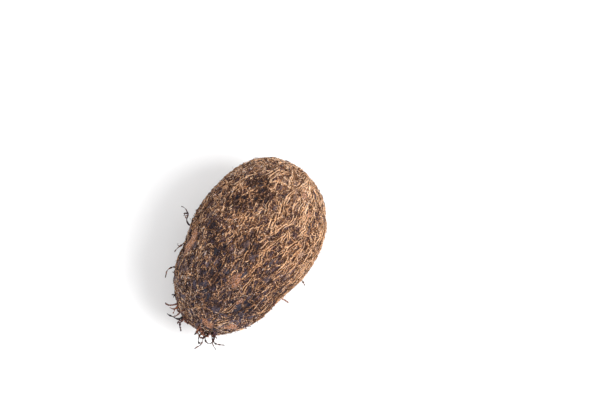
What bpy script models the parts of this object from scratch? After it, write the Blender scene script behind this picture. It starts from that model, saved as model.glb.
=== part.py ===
"""A taro corm (an eddo), lying on its side, as one solid.

Metres, +Z up. X runs along the corm, from the crown end, where the leaves stood, at -X
to the heel end, where it grew on the mother corm, at +X. The origin is on the surface that
the corm rests on, under the middle of its bounding box.
"""

import math

import bmesh
import bpy
from mathutils import Vector

# Overall size of the corm, before its underside is flattened
LENGTH = 0.0900
WIDTH = 0.0584
HEIGHT = 0.0572

# Outline, seen from above. Positions along the corm run from -1 at the crown end to 1 at the heel end
BLUNTNESS = 2.16  # exponent of the outline: 2 is an ellipse, and more is blunter
HEEL_SWELL = 0.089  # how much fuller the heel half is than the crown half
WAIST_DEPTH = 0.061  # shallow narrowing in the crown half, as a share of the half width
WAIST_PLACE = -0.31
WAIST_REACH = 0.226
WAIST_ON_TOP = 0.35  # how much of the waist is left on the top and the underside
ARCH = 0.0022  # how far the corm's middle line drops from its middle to its ends
HEEL_SKEW = 0.0028  # how far the same line leans to +Y at the heel end

# Slow swells round and along the body: (share of the radius, lobes round, turns along, phase)
SWELLS = (
    (0.011, 2, 1.6, 0.7),
    (0.009, 3, 2.3, 2.1),
    (0.006, 4, 3.4, 4.0),
    (0.004, 5, 5.1, 1.2),
)

# Crown: leaf-scar terraces round a dried bud, which faces down and a little to -Y
CROWN_Y = -0.0040
CROWN_Z = -0.0125
BUD_RADIUS = 0.0042
BUD_HEIGHT = 0.0016
DISH_RADIUS = 0.0075
DISH_DEPTH = 0.0006
TERRACE_PITCH = 0.0042
TERRACE_STEP = 0.0005
TERRACE_COUNT = 4

# Heel: the shallow round scar where the corm broke from its mother
HEEL_Y = 0.0020
HEEL_Z = -0.0060
HEEL_RADIUS = 0.0060
HEEL_DEPTH = 0.0009
HEEL_LIP = 0.0004

# The worn flat that the corm rests on
FLAT_DEPTH = 0.0007

# Mesh density
SEGMENTS_ROUND = 72
ROWS_ALONG = 42
END_CROWDING = 0.45  # how much closer the rows stand at the two ends than in the middle

SKIN_COLOUR = (0.222, 0.131, 0.090, 1.0)
SKIN_ROUGHNESS = 0.85


def clear_scene():
    """Removes every object that the file opened with."""
    for thing in list(bpy.data.objects):
        bpy.data.objects.remove(thing, do_unlink=True)


def make_skin_material():
    """Dry, dull, brown skin."""
    material = bpy.data.materials.new("taro_skin")
    material.use_nodes = True
    shader = material.node_tree.nodes["Principled BSDF"]
    shader.inputs["Base Color"].default_value = SKIN_COLOUR
    shader.inputs["Roughness"].default_value = SKIN_ROUGHNESS
    shader.inputs["Metallic"].default_value = 0.0
    return material


def outline(along, turn):
    """Radius of the corm, as a share of its largest, at a place along it and round it."""
    egg = max(0.0, 1.0 - abs(along) ** BLUNTNESS) ** (1.0 / BLUNTNESS)
    waist = WAIST_DEPTH * math.exp(-(((along - WAIST_PLACE) / WAIST_REACH) ** 2))
    waist *= WAIST_ON_TOP + (1.0 - WAIST_ON_TOP) * math.cos(turn) ** 2
    return egg * (1.0 + HEEL_SWELL * along - waist)


def swelling(along, turn):
    """Factor on the radius from the slow swells, none of it at the two ends."""
    total = 0.0
    for share, lobes, turns, phase in SWELLS:
        total += share * math.sin(lobes * turn + phase) * math.sin(turns * along + 2.0 * phase)
    return 1.0 + total * (1.0 - along**2)


def crown_relief(distance):
    """How far the crown end stands out along X, at a distance from the middle of the bud."""
    if distance < BUD_RADIUS:
        return BUD_HEIGHT * (1.0 - (distance / BUD_RADIUS) ** 2)
    if distance < DISH_RADIUS:
        across = (distance - BUD_RADIUS) / (DISH_RADIUS - BUD_RADIUS)
        return -DISH_DEPTH * math.sin(math.pi * across)
    terrace = (distance - DISH_RADIUS) / TERRACE_PITCH
    if terrace > TERRACE_COUNT:
        return 0.0
    return TERRACE_STEP * math.sin(math.pi * (terrace % 1.0)) ** 2


def heel_relief(distance):
    """How far the heel end stands out along X, at a distance from the middle of the scar."""
    if distance < HEEL_RADIUS:
        return -HEEL_DEPTH * (1.0 - (distance / HEEL_RADIUS) ** 2)
    beyond = (distance - HEEL_RADIUS) / HEEL_RADIUS
    return HEEL_LIP * math.sin(math.pi * min(1.0, beyond))


def shape_point(direction):
    """Moves a point of the unit sphere, whose poles are on X, onto the corm."""
    polar = math.acos(max(-1.0, min(1.0, -direction.x)))
    polar -= END_CROWDING * math.sin(2.0 * polar) / 2.0
    along = -math.cos(polar)
    turn = math.atan2(direction.z, direction.y)
    radius = outline(along, turn) * swelling(along, turn)
    y = radius * math.cos(turn) * WIDTH / 2.0 + HEEL_SKEW * max(0.0, along) ** 4
    z = radius * math.sin(turn) * HEIGHT / 2.0 - ARCH * along**2
    x = along * LENGTH / 2.0
    facing = abs(along) ** 3
    if along < 0.0:
        x -= facing * crown_relief(math.hypot(y - CROWN_Y, z - CROWN_Z))
    else:
        x += facing * heel_relief(math.hypot(y - HEEL_Y, z - HEEL_Z))
    return Vector((x, y, z))


def bounds(mesh):
    """Lowest and highest corner of a bmesh."""
    low = Vector([min(v.co[axis] for v in mesh.verts) for axis in range(3)])
    high = Vector([max(v.co[axis] for v in mesh.verts) for axis in range(3)])
    return low, high


def fit_to_size(mesh):
    """Scales the corm to its driving dimensions."""
    low, high = bounds(mesh)
    size = high - low
    factors = (LENGTH / size.x, WIDTH / size.y, HEIGHT / size.z)
    bmesh.ops.scale(mesh, vec=factors, verts=mesh.verts)


def flatten_underside(mesh):
    """Cuts the lowest sliver off, and closes the cut with the flat that the corm rests on."""
    low, _high = bounds(mesh)
    geometry = mesh.verts[:] + mesh.edges[:] + mesh.faces[:]
    cut = bmesh.ops.bisect_plane(
        mesh,
        geom=geometry,
        dist=1e-6,
        plane_co=(0.0, 0.0, low.z + FLAT_DEPTH),
        plane_no=(0.0, 0.0, -1.0),
        clear_outer=True,
    )
    rim = [item for item in cut["geom_cut"] if isinstance(item, bmesh.types.BMEdge)]
    bmesh.ops.contextual_create(mesh, geom=rim)


def stand_at_origin(mesh):
    """Puts the flat on z = 0 and the middle of the bounding box on x = y = 0."""
    low, high = bounds(mesh)
    middle = (low + high) / 2.0
    bmesh.ops.translate(mesh, vec=(-middle.x, -middle.y, -low.z), verts=mesh.verts)


def build_corm(collection):
    """The corm: a sphere whose points are moved onto an egg with a crown and a heel."""
    mesh = bmesh.new()
    bmesh.ops.create_uvsphere(
        mesh, u_segments=SEGMENTS_ROUND, v_segments=ROWS_ALONG, radius=1.0
    )
    for vertex in mesh.verts:
        pole_on_x = Vector((vertex.co.z, vertex.co.x, vertex.co.y))
        vertex.co = shape_point(pole_on_x)
    fit_to_size(mesh)
    flatten_underside(mesh)
    stand_at_origin(mesh)
    bmesh.ops.recalc_face_normals(mesh, faces=mesh.faces)
    data = bpy.data.meshes.new("corm")
    mesh.to_mesh(data)
    mesh.free()
    data.shade_smooth()
    data.set_sharp_from_angle(angle=math.radians(35.0))
    data.materials.append(make_skin_material())
    corm = bpy.data.objects.new("corm", data)
    collection.objects.link(corm)
    return corm


def main():
    clear_scene()
    collection = bpy.data.collections.new("taro_corm")
    bpy.context.scene.collection.children.link(collection)
    build_corm(collection)


main()
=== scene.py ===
"""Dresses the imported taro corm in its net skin, strands, papery scales, rootlets and crown collars."""

import functools
import itertools
import math

import bpy
import numpy as np
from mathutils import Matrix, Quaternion, Vector
from mathutils.bvhtree import BVHTree


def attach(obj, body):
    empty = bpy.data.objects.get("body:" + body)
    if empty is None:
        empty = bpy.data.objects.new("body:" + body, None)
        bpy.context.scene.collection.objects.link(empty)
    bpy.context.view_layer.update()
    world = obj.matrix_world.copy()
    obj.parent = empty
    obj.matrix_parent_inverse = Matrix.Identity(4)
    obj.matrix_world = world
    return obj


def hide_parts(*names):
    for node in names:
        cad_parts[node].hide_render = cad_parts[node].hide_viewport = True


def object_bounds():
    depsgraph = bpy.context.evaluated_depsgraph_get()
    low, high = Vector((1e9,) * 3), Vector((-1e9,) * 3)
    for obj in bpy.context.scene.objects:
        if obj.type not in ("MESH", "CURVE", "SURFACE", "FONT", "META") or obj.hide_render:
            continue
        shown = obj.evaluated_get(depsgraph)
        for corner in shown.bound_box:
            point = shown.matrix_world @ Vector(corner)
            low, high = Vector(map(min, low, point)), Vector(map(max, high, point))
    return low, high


bl_info = {
    "name": "Taro Corm",
    "version": (1, 0, 0),
    "blender": (4, 5, 0),
    "location": "View3D > Sidebar > Taro",
    "description": "Builds the net skin, fibres and rootlets of a taro corm round its plain solid",
    "category": "Add Mesh",
}

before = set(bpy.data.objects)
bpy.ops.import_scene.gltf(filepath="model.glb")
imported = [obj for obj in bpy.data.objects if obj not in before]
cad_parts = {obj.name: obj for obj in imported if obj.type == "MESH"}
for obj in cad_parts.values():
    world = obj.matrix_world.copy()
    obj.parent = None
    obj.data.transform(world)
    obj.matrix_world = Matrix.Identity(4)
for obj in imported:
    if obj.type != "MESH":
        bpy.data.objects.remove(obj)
CAD_LOW, CAD_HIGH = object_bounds()

MM = 0.001
CORM = "corm"
BODY = "root"
BAKE_MAP = "OFBake"

HALF_LENGTH = (CAD_HIGH.x - CAD_LOW.x) / 2
HALF_ROUND = (CAD_HIGH.y - CAD_LOW.y + CAD_HIGH.z - CAD_LOW.z) / 4
MIDDLE = np.array((CAD_LOW + CAD_HIGH) / 2)

# Places on the corm are a latitude, -90 degrees at the crown end and 90 at the heel end,
# and a turn round its length, 0 at +Y and 90 on top.
CROWN = (math.radians(-63), math.radians(-108))
HEEL = (math.radians(77), math.radians(-72))
LAST_START = math.radians(84)  # no strand or scale starts nearer to the two poles
LAST_LATITUDE = 1.53  # and none reaches nearer to them, in radians

FLOOR_GAP = 0.05 * MM  # under the lowest strands and scales
SHADES = 32  # columns of the strands' map for warm shades, dark to pale, and as many for cool ones
OVAL_ACROSS = 0.4  # half width of the oval that a tube's closed end takes on the map
OVAL_ALONG = 0.01  # and half its length


# ---------------------------------------------------------------- noise


def cell_random(cells, seed):
    """A repeatable number from 0 to 1 for each whole-number cell."""
    x, y, z = (cells[..., k].astype(np.int64).astype(np.uint32) for k in range(3))
    mixed = x * np.uint32(0x8DA6B343) ^ y * np.uint32(0xD8163841) ^ z * np.uint32(0xCB1AB31F)
    mixed ^= np.uint32(seed * 0x9E3779B1 & 0xFFFFFFFF)
    for shift, factor in ((15, 0x2C1B3C6D), (12, 0x297A2D39)):
        mixed ^= mixed >> np.uint32(shift)
        mixed *= np.uint32(factor)
    mixed ^= mixed >> np.uint32(15)
    return mixed / 2.0**32


def noise(points, size, seed):
    """Smooth noise from -1 to 1, in lumps about as wide as size."""
    at = points / size
    low = np.floor(at)
    part = at - low
    part = part**3 * (part * (part * 6 - 15) + 10)
    total = np.zeros(len(points))
    for corner in itertools.product((0, 1), repeat=3):
        weight = np.prod(np.where(corner, part, 1 - part), axis=1)
        total += weight * cell_random(low + corner, seed)
    return 2 * total - 1


def layered_noise(points, size, seed, layers=3):
    """Noise with finer and weaker lumps on top, still about -1 to 1."""
    total = sum(noise(points, size / 2**k, seed + k) / 2**k for k in range(layers))
    return total / 1.5


def vector_noise(points, size, seed):
    """Three noises at once, to push points about."""
    return np.stack([noise(points, size, seed + 11 * k) for k in range(3)], axis=1)


def bits_turned(value, places):
    """Whole numbers of 32 bits with their bits moved round by some places."""
    return (value << np.uint32(places)) | (value >> np.uint32(32 - places))


def well_mixed(a, b, c):
    """The last stage of the hash that the Voronoi texture node takes its numbers from."""
    c = (c ^ b) - bits_turned(b, 14)
    a = (a ^ c) - bits_turned(c, 11)
    b = (b ^ a) - bits_turned(a, 25)
    c = (c ^ b) - bits_turned(b, 16)
    a = (a ^ c) - bits_turned(c, 4)
    b = (b ^ a) - bits_turned(a, 14)
    return (c ^ b) - bits_turned(b, 24)


def part_mixed(a, b, c):
    """The middle stage of the same hash."""
    for places in (4, 6, 8, 16, 19, 4):
        a = (a - c) ^ bits_turned(c, places)
        c = c + b
        a, b, c = b, c, a
    return a, b, c


def cell_jitter(cells):
    """Three numbers from 0 to 1 for each cell, the same as the Voronoi texture node gives it."""
    x, y, z = (np.ascontiguousarray(cells[..., k] + 0.0, np.float32).view(np.uint32) for k in range(3))
    short, long = np.uint32(0xDEADBEFC + 12), np.uint32(0xDEADBEFC + 16)
    found = [well_mixed(short + x, short + y, short + z)]
    a, b, c = part_mixed(long + x, long + y, long + z)
    for extra in np.array([1.0, 2.0], np.float32).view(np.uint32):
        found.append(well_mixed(a + extra, b, c))
    return np.stack(found, axis=-1) / (2.0**32 - 1)


def cell_gap(at, randomness):
    """How much nearer the nearest cell's middle is than the next, as the Voronoi node measures them."""
    low = np.floor(at)
    first = np.full(len(at), 9.0)
    second = np.full(len(at), 9.0)
    for step in itertools.product((-1, 0, 1), repeat=3):
        cell = low + step
        away = np.linalg.norm(at - cell - randomness * cell_jitter(cell), axis=1)
        second = np.where(away < first, first, np.minimum(second, away))
        first = np.minimum(first, away)
    return second - first


def smoothstep(low, high, value):
    """0 below low, 1 above high, and an even ramp between them."""
    share = np.clip((value - low) / (high - low), 0, 1)
    return share * share * (3 - 2 * share)


def unit(course):
    """Complex directions with their length made 1."""
    return course / np.maximum(np.abs(course), 1e-12)


def alike(line, course):
    """A line's direction, turned back to front where it points away from course."""
    return np.where((line * np.conj(course)).real < 0, -line, line)


# ---------------------------------------------------------------- the corm's own surface


class CormSurface:
    """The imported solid's outside, read at any latitude and turn, without its facets."""

    ROWS = 240
    COLUMNS = 480
    SOFTEN = 1.1 * MM

    def __init__(self, node):
        mesh = node.data
        points = [v.co.copy() for v in mesh.vertices]
        faces = [tuple(p.vertices) for p in mesh.polygons]
        self.tree = BVHTree.FromPolygons(points, faces)
        self.lats = np.linspace(-math.pi / 2, math.pi / 2, self.ROWS + 1)
        self.turns = np.arange(self.COLUMNS) * 2 * math.pi / self.COLUMNS
        self.reach = self.soften(self.measure())

    @staticmethod
    def spine(lat):
        """The point inside the corm that a place looks out from."""
        start = np.zeros(lat.shape + (3,))
        start[..., 0] = np.sin(lat) * (HALF_LENGTH**2 - HALF_ROUND**2) / HALF_LENGTH
        return start + MIDDLE

    @staticmethod
    def outward(lat, turn):
        """Unit direction out of the corm at a place."""
        across = np.cos(lat) / HALF_ROUND
        way = np.stack(
            [np.sin(lat) / HALF_LENGTH, across * np.cos(turn), across * np.sin(turn)], axis=-1
        )
        return way / np.linalg.norm(way, axis=-1, keepdims=True)

    def measure(self):
        """How far the solid reaches from its spine at each place of an even grid."""
        lat, turn = np.meshgrid(self.lats, self.turns, indexing="ij")
        starts = self.spine(lat).reshape(-1, 3)
        ways = self.outward(lat, turn).reshape(-1, 3)
        found = np.empty(len(starts))
        for k, (start, way) in enumerate(zip(starts.tolist(), ways.tolist())):
            found[k] = self.tree.ray_cast(Vector(start), Vector(way))[3]
        if not np.isfinite(found).all():
            raise RuntimeError("the packed corm isn't closed: a ray from inside it met no face")
        return found.reshape(lat.shape)

    def soften(self, reach):
        """Blurs the grid round and along the corm, which takes the solid's facets away."""
        waves = np.arange(self.COLUMNS // 2 + 1)
        radius = np.maximum(np.cos(self.lats) * HALF_ROUND, 1e-6)
        spectrum = np.fft.rfft(reach, axis=1)
        spectrum *= np.exp(-0.5 * (waves[None, :] * (self.SOFTEN / radius)[:, None]) ** 2)
        reach = np.fft.irfft(spectrum, self.COLUMNS, axis=1)
        pitch = math.pi / self.ROWS * HALF_LENGTH
        span = int(math.ceil(3 * self.SOFTEN / pitch))
        beyond = np.roll(reach, self.COLUMNS // 2, axis=1)
        tall = np.concatenate([beyond[span:0:-1], reach, beyond[-2 : -span - 2 : -1]])
        offsets = np.arange(-span, span + 1)
        weights = np.exp(-0.5 * (offsets * pitch / self.SOFTEN) ** 2)
        weights /= weights.sum()
        rows = len(reach)
        return sum(w * tall[span + k : span + k + rows] for w, k in zip(weights, offsets))

    def place(self, lat, turn):
        """Points on the corm."""
        row = np.clip((lat + math.pi / 2) / math.pi, 0, 1) * self.ROWS
        column = (turn / (2 * math.pi)) % 1.0 * self.COLUMNS
        top = np.minimum(row.astype(int), self.ROWS - 1)
        left = column.astype(int) % self.COLUMNS
        right = (left + 1) % self.COLUMNS
        down, over = row - top, column - np.floor(column)
        reach = (self.reach[top, left] * (1 - over) + self.reach[top, right] * over) * (1 - down)
        reach += (self.reach[top + 1, left] * (1 - over) + self.reach[top + 1, right] * over) * down
        return self.spine(lat) + self.outward(lat, turn) * reach[..., None]

    def tangents(self, lat, turn):
        """Unit directions towards the heel and round the corm, square to outward."""
        out = self.outward(lat, turn)
        around = np.stack([np.zeros_like(turn), -np.sin(turn), np.cos(turn)], axis=-1)
        return np.cross(out, around), around

    @staticmethod
    def stride(points, lat):
        """How far a radian of latitude and a radian of turn reach at places on the corm."""
        along = np.hypot(HALF_LENGTH * np.cos(lat), HALF_ROUND * np.sin(lat))
        around = np.maximum(np.hypot(points[:, 1], points[:, 2] - MIDDLE[2]), 2 * MM)
        return along, around


@functools.lru_cache(maxsize=1)
def corm_surface():
    """The corm's surface, measured once."""
    return CormSurface(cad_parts[CORM])


def spot(lat, turn):
    """One point of the corm, from a latitude and a turn in radians."""
    return corm_surface().place(np.array([lat]), np.array([turn]))[0]


def spot_at(along, turn):
    """One point of the corm, from a share of its half length and a turn in degrees."""
    return spot(math.asin(along), math.radians(turn))


# ---------------------------------------------------------------- skin pattern

# Rubbed, smooth places: (along, turn, radius along, radius round, paleness)
RUBBED = (
    (-0.36, 35.0, 8.0 * MM, 3.6 * MM, 0.6),
    (-0.48, 111.0, 4.2 * MM, 2.5 * MM, 0.1),
    (-0.62, 132.0, 1.8 * MM, 1.2 * MM, 0.3),
    (-0.952, 124.0, 1.4 * MM, 2.4 * MM, 0.0),
    (-0.945, 143.0, 1.4 * MM, 2.2 * MM, 0.1),
    (-0.83, 166.0, 2.4 * MM, 2.6 * MM, 0.4),
    (-0.875, 158.0, 0.7 * MM, 1.6 * MM, 1.0),
    (0.66, 122.0, 2.0 * MM, 1.3 * MM, 0.7),
    (0.52, 136.0, 1.6 * MM, 1.1 * MM, 0.9),
    (0.10, -48.0, 6.0 * MM, 4.0 * MM, 0.2),
    (0.45, -150.0, 5.0 * MM, 3.5 * MM, 0.4),
    (-0.20, -118.0, 5.0 * MM, 3.0 * MM, 0.0),
)
# Bruised, darker places: (along, turn, radius)
BRUISED = (
    (0.49, 72.0, 6.0 * MM),
    (0.36, 84.0, 4.0 * MM),
    (-0.16, 60.0, 5.0 * MM),
    (-0.12, 98.0, 7.0 * MM),
    (0.20, 66.0, 6.0 * MM),
    (-0.34, 83.0, 6.5 * MM),
    (-0.62, 84.0, 7.0 * MM),
    (-0.80, 110.0, 7.0 * MM),
    (-0.66, 140.0, 7.0 * MM),
    (0.30, -60.0, 9.0 * MM),
    (-0.45, -70.0, 8.0 * MM),
)
# Rootlets: (along, turn, lean towards the heel, how many, spread, length, degrees they curl, rise).
# One on its own keeps its curl, and several together curl either way.
ROOTLETS = (
    (-0.15, 3.0, -0.25, 1, 0.0, 12.5 * MM, 400.0, 0.0),
    (-0.34, 8.0, -0.20, 1, 0.0, 7.5 * MM, -60.0, 0.1),
    (-0.60, 2.0, 0.0, 1, 0.0, 9.0 * MM, -130.0, 0.1),
    (-0.83, 2.0, -0.70, 3, 0.8 * MM, 2.6 * MM, 80.0, 0.1),
    (-0.91, 2.0, -0.80, 4, 1.2 * MM, 5.5 * MM, 110.0, 0.0),
    (-0.965, -6.0, -0.80, 6, 2.0 * MM, 7.5 * MM, 120.0, 0.0),
    (-0.985, 150.0, -0.60, 5, 1.8 * MM, 4.5 * MM, 170.0, -0.1),
    (-0.970, -178.0, -0.60, 9, 2.4 * MM, 10.0 * MM, 130.0, 0.0),
    (-0.930, -160.0, -0.50, 3, 1.0 * MM, 3.0 * MM, 120.0, 0.0),
    (-0.39, 178.0, -0.10, 3, 0.7 * MM, 1.8 * MM, 90.0, 0.0),
    (-0.28, 184.0, 0.2, 1, 0.0, 5.0 * MM, 80.0, 0.0),
    (-0.55, 0.0, -0.3, 14, 6.0 * MM, 1.5 * MM, 60.0, 0.2),
    (-0.70, 180.0, -0.3, 10, 6.0 * MM, 1.3 * MM, 60.0, 0.1),
    (0.25, -35.0, 0.0, 2, 3.0 * MM, 5.0 * MM, 120.0, 0.0),
    (0.60, -140.0, 0.2, 2, 2.5 * MM, 4.5 * MM, 100.0, 0.0),
    (-0.70, -60.0, -0.3, 3, 3.0 * MM, 4.5 * MM, 130.0, 0.0),
    (0.05, -160.0, 0.0, 1, 0.0, 4.0 * MM, 90.0, 0.0),
)
# Distances from the two ends' middles within which the grain runs all, or partly, in rings
CROWN_RINGED = (12 * MM, 20 * MM)
HEEL_RINGED = (14 * MM, 23 * MM)
RING_PITCH = 3.9 * MM
LAST_RING = 26 * MM
BUD_RADIUS = 4.2 * MM
SCAR_RADIUS = 6.0 * MM


class SkinPattern:
    """Where the net skin has its hollows, ribs, rings and rubbed places, for any points."""

    RANDOMNESS = 0.9  # how uneven the cells of the net are
    # What pushes the cells about: (how far, size of the lumps, seed)
    PUSHES = ((0.45 * MM, 2.2 * MM, 31), (1.6 * MM, 9.0 * MM, 57))
    # Lumps of the skin: (height, size, seed)
    LUMPS = ((0.45 * MM, 15 * MM, 17), (0.40 * MM, 4.6 * MM, 19))
    FINE_LUMPS = (0.24 * MM, 1.8 * MM, 23)
    RING_HEIGHT = 0.40 * MM
    BUD_HEIGHT = 1.3 * MM
    SCAR_DEPTH = 0.5 * MM

    def __init__(self, settings):
        self.cell = np.array([settings.cell_length, settings.cell_width, settings.cell_width])
        self.depth = settings.hollow_depth
        self.crown = spot(*CROWN)
        self.heel = spot(*HEEL)
        self.rubbed = [(spot_at(along, turn), *sizes) for along, turn, *sizes in RUBBED]
        self.bruised = [(spot_at(a, t), radius) for a, t, radius in BRUISED]

    def net_place(self, points):
        """Points measured in cells of the net, pushed about so that the cells are uneven."""
        pushed = points
        for reach, size, seed in self.PUSHES:
            pushed = pushed + reach * vector_noise(points, size, seed)
        return pushed / self.cell

    def gap(self, points):
        """0 on a line of the net, and up to about 1 in the middle of a hollow."""
        return cell_gap(self.net_place(points), self.RANDOMNESS)

    def rubbed_places(self, points):
        """1 in a rubbed, smooth place and 0 away from them, and how pale the nearest of them is."""
        share = np.zeros(len(points))
        pale = np.zeros(len(points))
        ragged = 0.55 * layered_noise(points * (0.3, 1.0, 1.0), 1.5 * MM, 71)
        for middle, along, across, paleness in self.rubbed:
            offset = points - middle
            away = np.hypot(offset[:, 0] / along, np.hypot(offset[:, 1], offset[:, 2]) / across)
            here = 1 - smoothstep(0.75, 1.1, away + ragged)
            pale = np.where(here > share, paleness, pale)
            share = np.maximum(share, here)
        return share, pale

    def rubbed_share(self, points):
        """1 in a rubbed, smooth place, and 0 away from them."""
        return self.rubbed_places(points)[0]

    def bruised_share(self, points):
        """1 in a darker place, and 0 away from them."""
        share = np.zeros(len(points))
        ragged = 0.4 * layered_noise(points, 5 * MM, 83)
        for middle, radius in self.bruised:
            away = np.linalg.norm(points - middle, axis=1) / radius
            share = np.maximum(share, 1 - smoothstep(0.45, 1.2, away + ragged))
        return share

    def scar_share(self, points):
        """1 on the scar at the heel and on the bud, and 0 away from them."""
        ragged = 0.8 * MM * layered_noise(points, 2 * MM, 61)
        heel = np.linalg.norm(points - self.heel, axis=1) + ragged
        crown = np.linalg.norm(points - self.crown, axis=1) + ragged
        share = 1 - smoothstep(0.75, 1.0, heel / SCAR_RADIUS)
        return np.maximum(share, 1 - smoothstep(0.6, 0.9, crown / BUD_RADIUS))

    def bare_share(self, points):
        """1 where the net and its strands are gone: rubbed places and scars."""
        return np.maximum(self.rubbed_share(points), self.scar_share(points))

    def ringed_share(self, points):
        """1 near the two ends, where the grain runs in rings, and 0 along the middle."""
        share = np.zeros(len(points))
        for middle, (near, far) in ((self.crown, CROWN_RINGED), (self.heel, HEEL_RINGED)):
            away = np.linalg.norm(points - middle, axis=1)
            share = np.maximum(share, 1 - smoothstep(near, far, away))
        return share

    def rings(self, points):
        """Leaf-scar rings round the two ends, from 0 between them to 1 on one."""
        total = np.zeros(len(points))
        wave = 0.9 * MM * noise(points, 9 * MM, 97)
        for middle, inner in ((self.crown, BUD_RADIUS), (self.heel, SCAR_RADIUS)):
            away = np.linalg.norm(points - middle, axis=1)
            ring = np.abs(np.sin(math.pi * (away + wave) / RING_PITCH)) ** 6
            total = np.maximum(total, ring * smoothstep(0.8, 1.3, away / inner) * (away < LAST_RING))
        return total * self.ringed_share(points)

    def grain(self, points, ahead, around):
        """Which way the fibres run, as a complex number: 1 towards the heel and 1j round the corm."""
        toward = np.where((points[:, 0] > MIDDLE[0])[:, None], self.heel, self.crown)
        ring = np.cross(np.cross(ahead, around), points - toward)
        ring = np.sum(ring * ahead, axis=1) + 1j * np.sum(ring * around, axis=1)
        ring /= np.maximum(np.abs(ring), 1e-9)
        ring = alike(ring, np.ones(len(points), complex))
        share = self.ringed_share(points)
        return unit((1 - share) + share * ring)

    def height(self, points):
        """How far the skin stands out from the plain corm."""
        rubbed = self.rubbed_share(points)
        hollow = smoothstep(0.08, 0.34, self.gap(points)) * (1 - rubbed)
        uneven = 0.8 + 0.45 * noise(points, 5 * MM, 13)
        high = -self.depth * hollow * uneven
        for lump, size, seed in self.LUMPS:
            high += lump * noise(points, size, seed)
        fine, size, seed = self.FINE_LUMPS
        high += fine * layered_noise(points, size, seed) * (1 - 0.7 * rubbed)
        high += self.RING_HEIGHT * self.rings(points)
        bud = np.linalg.norm(points - self.crown, axis=1)
        high += self.BUD_HEIGHT * (1 - smoothstep(0.35, 1.0, bud / BUD_RADIUS))
        scar = np.linalg.norm(points - self.heel, axis=1)
        high -= self.SCAR_DEPTH * (1 - smoothstep(0.5, 1.0, scar / SCAR_RADIUS))
        return high

    def tone(self, points):
        """Slow change of the skin from dark, -1.6, to light, 1: lightest at the heel end, and darker on
        the -Y side as painted shade.
        """
        # Painted shade: the -Y side, which faces the key light, is made darker, which takes back some of
        # the light's brightening of that side.
        side = smoothstep(-0.4, 0.9, -points[:, 1] / HALF_ROUND)
        heel = smoothstep(-0.3, 0.8, points[:, 0] / HALF_LENGTH)
        crown = smoothstep(0.45, 0.9, -points[:, 0] / HALF_LENGTH)
        slow = 0.45 * layered_noise(points, 16 * MM, 41)
        light = slow - 0.30 * side + 0.8 * heel + 0.35 * crown - 0.32
        light = light - (1 + 0.6 * heel) * self.bruised_share(points)
        return np.clip(light, -1.6, 1)

    def cool_share(self, points):
        """How grey and purple the skin is: most at the crown end and on the +Y side."""
        side = smoothstep(0.0, 0.9, points[:, 1] / HALF_ROUND)
        crown = 1 - smoothstep(-0.95, 0.25, points[:, 0] / HALF_LENGTH)
        uneven = 0.3 * layered_noise(points, 8 * MM, 47)
        return np.clip(crown + 0.3 * side + uneven, 0, 1)


# ---------------------------------------------------------------- meshes


def new_piece(name, points, corners, counts, material):
    """A mesh object from flat arrays, which rides on the corm's body."""
    mesh = bpy.data.meshes.new(name)
    mesh.vertices.add(len(points))
    mesh.vertices.foreach_set("co", points.astype(np.float32).ravel())
    mesh.loops.add(len(corners))
    mesh.loops.foreach_set("vertex_index", corners.astype(np.int32))
    mesh.polygons.add(len(counts))
    starts = np.concatenate([[0], np.cumsum(counts)[:-1]])
    mesh.polygons.foreach_set("loop_start", starts.astype(np.int32))
    mesh.update(calc_edges=True)
    mesh.shade_smooth()
    mesh.materials.append(material)
    piece = bpy.data.objects.new(name, mesh)
    bpy.context.scene.collection.objects.link(piece)
    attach(piece, BODY)
    return piece


def add_map(piece, places):
    """Gives a piece the map that its finish is laid out on, one place for each face corner."""
    layer = piece.data.uv_layers.new(name=BAKE_MAP)
    layer.uv.foreach_set("vector", places.astype(np.float32).ravel())


def inset(share, margin):
    """A share from 0 to 1, drawn in so that both of its ends are left free by margin."""
    return margin + (1 - 2 * margin) * share


def add_values(piece, name, values):
    """Gives a piece one number for each point, for its material to read."""
    attribute = piece.data.attributes.new(name, "FLOAT", "POINT")
    attribute.data.foreach_set("value", values.astype(np.float32))


def tube_faces(count, steps, sides):
    """Corners and corner counts of count tubes with closed ends, and each corner's place.

    A place is the tube's number, how far round it and how far along it, from 0 to 1.
    """
    tube, ring, side = np.meshgrid(
        np.arange(count), np.arange(steps - 1), np.arange(sides), indexing="ij"
    )
    tube, ring, side = (x.ravel() for x in (tube, ring, side))
    following = (side + 1) % sides
    base = tube * steps * sides
    here = base + ring * sides
    quads = np.stack([here + following, here + side, here + sides + side, here + sides + following], 1)
    places = np.stack(
        [
            np.stack([tube, tube, tube, tube], 1),
            np.stack([side + 1, side, side, side + 1], 1) / sides,
            np.stack([ring, ring, ring + 1, ring + 1], 1) / (steps - 1),
        ],
        axis=-1,
    )
    starts = np.arange(count) * steps * sides
    spokes = np.arange(sides)
    first = starts[:, None] + spokes[None, :]
    last = starts[:, None] + (steps - 1) * sides + spokes[None, ::-1]
    ends = np.stack([first, last], 1).reshape(-1, sides)
    # A closed end's place is a flat oval, at the first or the last of its tube's length
    spin = 2 * math.pi * spokes / sides
    rim = np.broadcast_to(np.arange(count)[:, None, None], (count, 2, sides))
    around = np.broadcast_to(0.5 + OVAL_ACROSS * np.cos(spin), rim.shape)
    along = np.array([OVAL_ALONG, 1 - OVAL_ALONG])[None, :, None] + OVAL_ALONG * np.sin(spin)
    along = np.broadcast_to(along, rim.shape)
    end_places = np.stack([rim, around, along], axis=-1).reshape(-1, 3)
    corners = np.concatenate([quads.ravel(), ends.ravel()])
    counts = np.concatenate([np.full(len(quads), 4), np.full(len(ends), sides)])
    return corners, counts, np.concatenate([places.reshape(-1, 3), end_places])


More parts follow.
